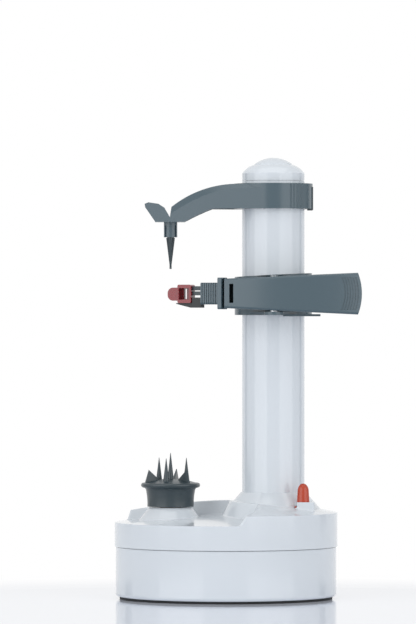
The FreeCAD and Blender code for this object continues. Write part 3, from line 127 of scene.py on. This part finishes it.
# %% Blue-grey ABS, satin mould
blue_grey_abs, shader = new_material("blue_grey_abs", {
    "Base Color": linear("#495C65"),
    "Roughness": 0.26,
    "IOR": ABS_IOR,
})
moulded_skin(blue_grey_abs, shader, spacing_mm=0.8, depth_mm=0.006, detail=4.0)
print("made", blue_grey_abs.name)

# %% [markdown]
# ## Dark grey ABS
#
# The food holder, the spike and the small fittings are of a darker grade of the same plastic,
# with the same kind of satin skin. The grain is drawn coarser than it is, as on the arms.

# %% Dark grey ABS, satin mould
dark_grey_abs, shader = new_material("dark_grey_abs", {
    "Base Color": linear("#2F3D43"),
    "Roughness": 0.32,
    "IOR": ABS_IOR,
})
moulded_skin(dark_grey_abs, shader, spacing_mm=0.8, depth_mm=0.006, detail=4.0)
print("made", dark_grey_abs.name)

# %% [markdown]
# ## Orange ABS
#
# The start button is a bright orange cap from a polished mould, so it shows a small sharp
# highlight on its round top.

# %% Orange ABS, polished mould
orange_abs, shader = new_material("orange_abs", {
    "Base Color": linear("#BC3A12"),
    "Roughness": 0.18,
    "IOR": ABS_IOR,
})
moulded_skin(orange_abs, shader, spacing_mm=4.0, depth_mm=0.006)
print("made", orange_abs.name)

# %% [markdown]
# ## Clear red polystyrene
#
# The blade frame is moulded from clear polystyrene with a red dye. It could be full glass, but
# such a small piece then turns black in its own shadows. So most of it is plain red plastic,
# and a little transmission gives it some depth.

# %% Clear red polystyrene
STYRENE_IOR = 1.59
clear_red_styrene, shader = new_material("clear_red_styrene", {
    "Base Color": linear("#8B0F1F"),
    "Roughness": 0.12,
    "IOR": STYRENE_IOR,
    "Transmission Weight": 0.06,
})
print("made", clear_red_styrene.name)

# %% [markdown]
# ## Steels and bronze
#
# The blade is ground stainless steel: fine parallel scratches spread its highlight. The screws
# and axles are zinc plated, the motor's can is drawn steel, and the bushes are sintered bronze.
# Each metal is fully metallic, keeps the default IOR, and differs in colour and roughness.

# %% Metals
def metal(name, colour, roughness):
    """A bare metal with an even finish."""
    made, _ = new_material(name, {
        "Base Color": linear(colour),
        "Metallic": 1.0,
        "Roughness": roughness,
    })
    return made


ground_stainless = metal("ground_stainless", "#C9CCCE", 0.28)
zinc_plate = metal("zinc_plate", "#C4C8CC", 0.3)
drawn_steel = metal("drawn_steel", "#A9ABAD", 0.36)
sintered_bronze = metal("sintered_bronze", "#5F4B34", 0.55)
print("made four metals")

# %% [markdown]
# ## Plastics and rubber inside and underneath
#
# Gears are natural acetal, a waxy off-white. The gear plate, the screw, the switch and the
# socket are black nylon, and the ring that the base stands on is soft black rubber, which
# hardly shines at all.

# %% Acetal, nylon, cell sleeve and rubber
natural_acetal, _ = new_material("natural_acetal", {
    "Base Color": linear("#EAE6DA"), "Roughness": 0.42, "IOR": 1.48,
})
black_nylon, _ = new_material("black_nylon", {
    "Base Color": linear("#1B1F22"), "Roughness": 0.45, "IOR": 1.53,
})
cell_sleeve, _ = new_material("cell_sleeve", {
    "Base Color": linear("#2A3040"), "Roughness": 0.3, "IOR": 1.5,
})
black_rubber, shader = new_material("black_rubber", {
    "Base Color": linear("#15171A"), "Roughness": 0.7, "IOR": 1.52,
})
moulded_skin(black_rubber, shader, spacing_mm=0.6, depth_mm=0.02, detail=4.0)
print("made acetal, nylon, cell sleeve and rubber")

# %% [markdown]
# ## Each piece gets its finish
#
# The record names a material slot for each piece, by what the real piece is made of. The table
# below turns each slot into one of the finishes above, so no piece is missed.

# %% Put the finishes on
FINISH = {
    "pearl_white_abs": pearl_white_abs,
    "blue_grey_abs": blue_grey_abs,
    "dark_grey_abs": dark_grey_abs,
    "orange_abs": orange_abs,
    "clear_red_plastic": clear_red_styrene,
    "blade_steel": ground_stainless,
    "bright_steel": zinc_plate,
    "brushed_steel_can": drawn_steel,
    "bronze": sintered_bronze,
    "natural_acetal": natural_acetal,
    "dark_nylon": black_nylon,
    "battery_jacket": cell_sleeve,
    "black_rubber": black_rubber,
}
for part in frame["record"]["subparts"]:
    piece = NODES[part["node"]]
    piece.data.materials.clear()
    piece.data.materials.append(FINISH[part["material_slot"]])
print("finished", len(NODES), "pieces")

# %% [markdown]
# ## Soft edges
#
# No moulded edge is truly sharp: a mould leaves a radius of some tenths of a millimetre, and
# that catches a thin line of light. Rounding each edge in the measured model would make it
# heavy. A Bevel modifier on the pieces that show does it here, only where two faces meet
# steeply.

# %% Round the sharp edges that show
EDGE_RADIUS_MM = {
    "upper_arm": 0.45, "peeling_arm": 0.4, "carriage_collar": 0.35, "blade_neck": 0.2,
    "tower_cap": 0.4, "tower_tube": 0.3, "food_holder": 0.25, "upper_spike": 0.12,
    "blade_guard": 0.25, "blade_stem": 0.2, "arm_release_button": 0.2,
}
STEEP = math.radians(35)
for name, radius in EDGE_RADIUS_MM.items():
    rounding = NODES[name].modifiers.new("soft_edges", "BEVEL")
    rounding.width = radius * MM
    rounding.segments = 2
    rounding.limit_method = "ANGLE"
    rounding.angle_limit = STEEP
print("rounded", len(EDGE_RADIUS_MM), "pieces")

# %% [markdown]
# ## The table and the white room
#
# The peeler stands on a glossy white table in a bright white room, and the table's far edge is
# lost in the white. A white sheet curved up behind it would bend the mirror image of the base.
# So the table is flat, and its lacquer fades into a white glow away from the peeler. The fade
# goes by the distance from a point on the table, so it stays put when the camera moves.

# %% A glossy white table
TABLE_DEPTH = 2.4
table_mesh = bpy.data.meshes.new("table_top")
half = TABLE_DEPTH / 2
table_mesh.from_pydata([(-half, -half, 0), (half, -half, 0), (half, half, 0), (-half, half, 0)],
                       [], [(0, 1, 2, 3)])
table_top = bpy.data.objects.new("table_top", table_mesh)
bpy.context.scene.collection.objects.link(table_top)
white_lacquer, lacquer = new_material("white_lacquer", {
    "Base Color": linear("#F1F4FC"), "Roughness": 0.06, "IOR": 1.5,
})
table_mesh.materials.append(white_lacquer)
print("table", TABLE_DEPTH, "m square")

# %% [markdown]
# ## The table fades into white
#
# Cycles tells a shader what kind of ray has reached it. One helper uses that, so that the glow
# is there for the camera, for mirrors and for clear plastic, and gives no light of its own. The
# table uses it here, and the white room uses it below.

# %% A glow that only the camera, mirrors and clear plastic see
def seen_directly(owner):
    """1 for a ray from the camera, a mirror or clear plastic, and 0 for one that lights."""
    rays = add_node(owner, "ShaderNodeLightPath")
    first = add_node(owner, "ShaderNodeMath", {"operation": "MAXIMUM"},
                     {0: rays.outputs["Is Camera Ray"], 1: rays.outputs["Is Glossy Ray"]})
    both = add_node(owner, "ShaderNodeMath", {"operation": "MAXIMUM"},
                    {0: first.outputs["Value"], 1: rays.outputs["Is Transmission Ray"]})
    return both.outputs["Value"]


FADE_CENTRE = (0.0, -0.15, 0.0)
FADE_START = 0.28
FADE_END = 0.44
place = add_node(white_lacquer, "ShaderNodeTexCoord")
away = add_node(white_lacquer, "ShaderNodeVectorMath",
                {"operation": "DISTANCE", 1: FADE_CENTRE}, {0: place.outputs["Object"]})
fade = add_node(white_lacquer, "ShaderNodeMapRange",
                {"interpolation_type": "SMOOTHSTEP", 1: FADE_START, 2: FADE_END},
                {"Value": away.outputs["Value"]})
share = add_node(white_lacquer, "ShaderNodeMath", {"operation": "MULTIPLY"},
                 {0: fade.outputs["Result"], 1: seen_directly(white_lacquer)})
glow = add_node(white_lacquer, "ShaderNodeEmission", {"Color": linear("#FFFFFF")})
blend = add_node(white_lacquer, "ShaderNodeMixShader", {},
                 {0: share.outputs["Value"], 1: lacquer.outputs["BSDF"],
                  2: glow.outputs["Emission"]})
finish = white_lacquer.node_tree.nodes["Material Output"]
white_lacquer.node_tree.links.new(blend.outputs["Shader"], finish.inputs["Surface"])
print("the table fades out from", FADE_START, "to", FADE_END, "m")

# %% [markdown]
# ## Light
#
# The picture was lit from large soft panels on both sides, with a bright room behind, so the
# tower has a pale streak on each side and no hard shadow. Three area lamps do that: a large one
# on each side and a weak one above.

# %% Room light
room = bpy.data.worlds.new("white_room")
bpy.context.scene.world = room
room.use_nodes = True
tree = room.node_tree
tree.nodes.clear()
ROOM_LIGHT = 0.45
seen = tree.nodes.new("ShaderNodeBackground")
seen.inputs["Color"].default_value = linear("#FFFFFF")
lit = tree.nodes.new("ShaderNodeBackground")
lit.inputs["Color"].default_value = linear("#F2F5FA")
lit.inputs["Strength"].default_value = ROOM_LIGHT
mix = tree.nodes.new("ShaderNodeMixShader")
out = tree.nodes.new("ShaderNodeOutputWorld")
tree.links.new(seen_directly(room), mix.inputs["Fac"])
tree.links.new(lit.outputs["Background"], mix.inputs[1])
tree.links.new(seen.outputs["Background"], mix.inputs[2])
tree.links.new(mix.outputs["Shader"], out.inputs["Surface"])


AIM = Vector((0, 0, 0.15))


def lamp(name, place, size, watts):
    """A soft rectangular panel at a place, facing the middle of the tower."""
    data = bpy.data.lights.new(name, "AREA")
    data.shape = "RECTANGLE"
    data.size, data.size_y = size
    data.energy = watts
    panel = bpy.data.objects.new(name, data)
    panel.location = place
    panel.rotation_euler = (AIM - Vector(place)).to_track_quat("-Z", "Y").to_euler()
    bpy.context.scene.collection.objects.link(panel)


lamp("left_panel", (-1.8, -1.6, 0.8), (2.4, 2.2), 24)
lamp("right_panel", (1.8, -1.6, 0.6), (2.4, 2.2), 22)
lamp("top_panel", (0.0, -0.3, 1.8), (1.8, 1.8), 8)
print("lit by the room and", len(bpy.data.lights), "panels")

# %% [markdown]
# ## Dark cards
#
# The thin grey lines along the tower's edges in the picture are dark gaps in the white room,
# mirrored in the plastic. A photographer sets up black cards for that. Two upright cards behind
# the peeler do it here. They show in the shine and nowhere else, and they are kept low, so that
# the table doesn't mirror them when the camera looks down on it.

# %% Dark cards that only mirrors see
CARD_LOW = -0.10
CARD_HIGH = 0.38


def dark_card(name, place, width):
    """An upright black card that shows in the shine alone, as a thin line on a round piece."""
    mesh = bpy.data.meshes.new(name)
    side = width / 2
    mesh.from_pydata([(-side, 0, CARD_LOW), (side, 0, CARD_LOW),
                      (side, 0, CARD_HIGH), (-side, 0, CARD_HIGH)], [], [(0, 1, 2, 3)])
    mesh.materials.append(matt_black)
    card = bpy.data.objects.new(name, mesh)
    card.location = place
    card.rotation_euler = (0, 0, math.atan2(place[1], place[0]) - math.radians(90))
    card.visible_camera = False
    card.visible_diffuse = False
    card.visible_shadow = False
    card.visible_transmission = False
    bpy.context.scene.collection.objects.link(card)


matt_black, _ = new_material("matt_black", {
    "Base Color": linear("#101214"), "Roughness": 0.9, "IOR": 1.45,
})
dark_card("card_back_left", (-1.70, 1.05, 0), 0.50)
dark_card("card_back_right", (1.75, 0.95, 0), 0.45)
print("set up two dark cards")

# %% [markdown]
# ## The camera
#
# The picture was taken level with the middle of the tower from a few metres away, so upright
# edges stay parallel and the round base looks almost flat. A long lens from the same distance
# repeats that. Its focal length follows from how much height the picture shows there, since
# Blender fits the sensor's width to the picture's longer side.

# %% A level camera with a long lens
CAMERA_DISTANCE = 3.4
CAMERA_HEIGHT = 0.189
CAMERA_SIDE = -0.0119
PICTURE_HEIGHT = 0.4118
SENSOR = 36.0
camera_data = bpy.data.cameras.new("camera")
camera_data.sensor_width = SENSOR
camera_data.lens = SENSOR * CAMERA_DISTANCE / PICTURE_HEIGHT
camera_data.clip_end = 50
camera = bpy.data.objects.new("camera", camera_data)
camera.location = (CAMERA_SIDE, -CAMERA_DISTANCE, CAMERA_HEIGHT)
camera.rotation_euler = (math.radians(90), 0, 0)
bpy.context.scene.collection.objects.link(camera)
bpy.context.scene.camera = camera
bpy.context.scene.view_settings.view_transform = "Standard"
print("lens in mm:", round(camera_data.lens, 1))
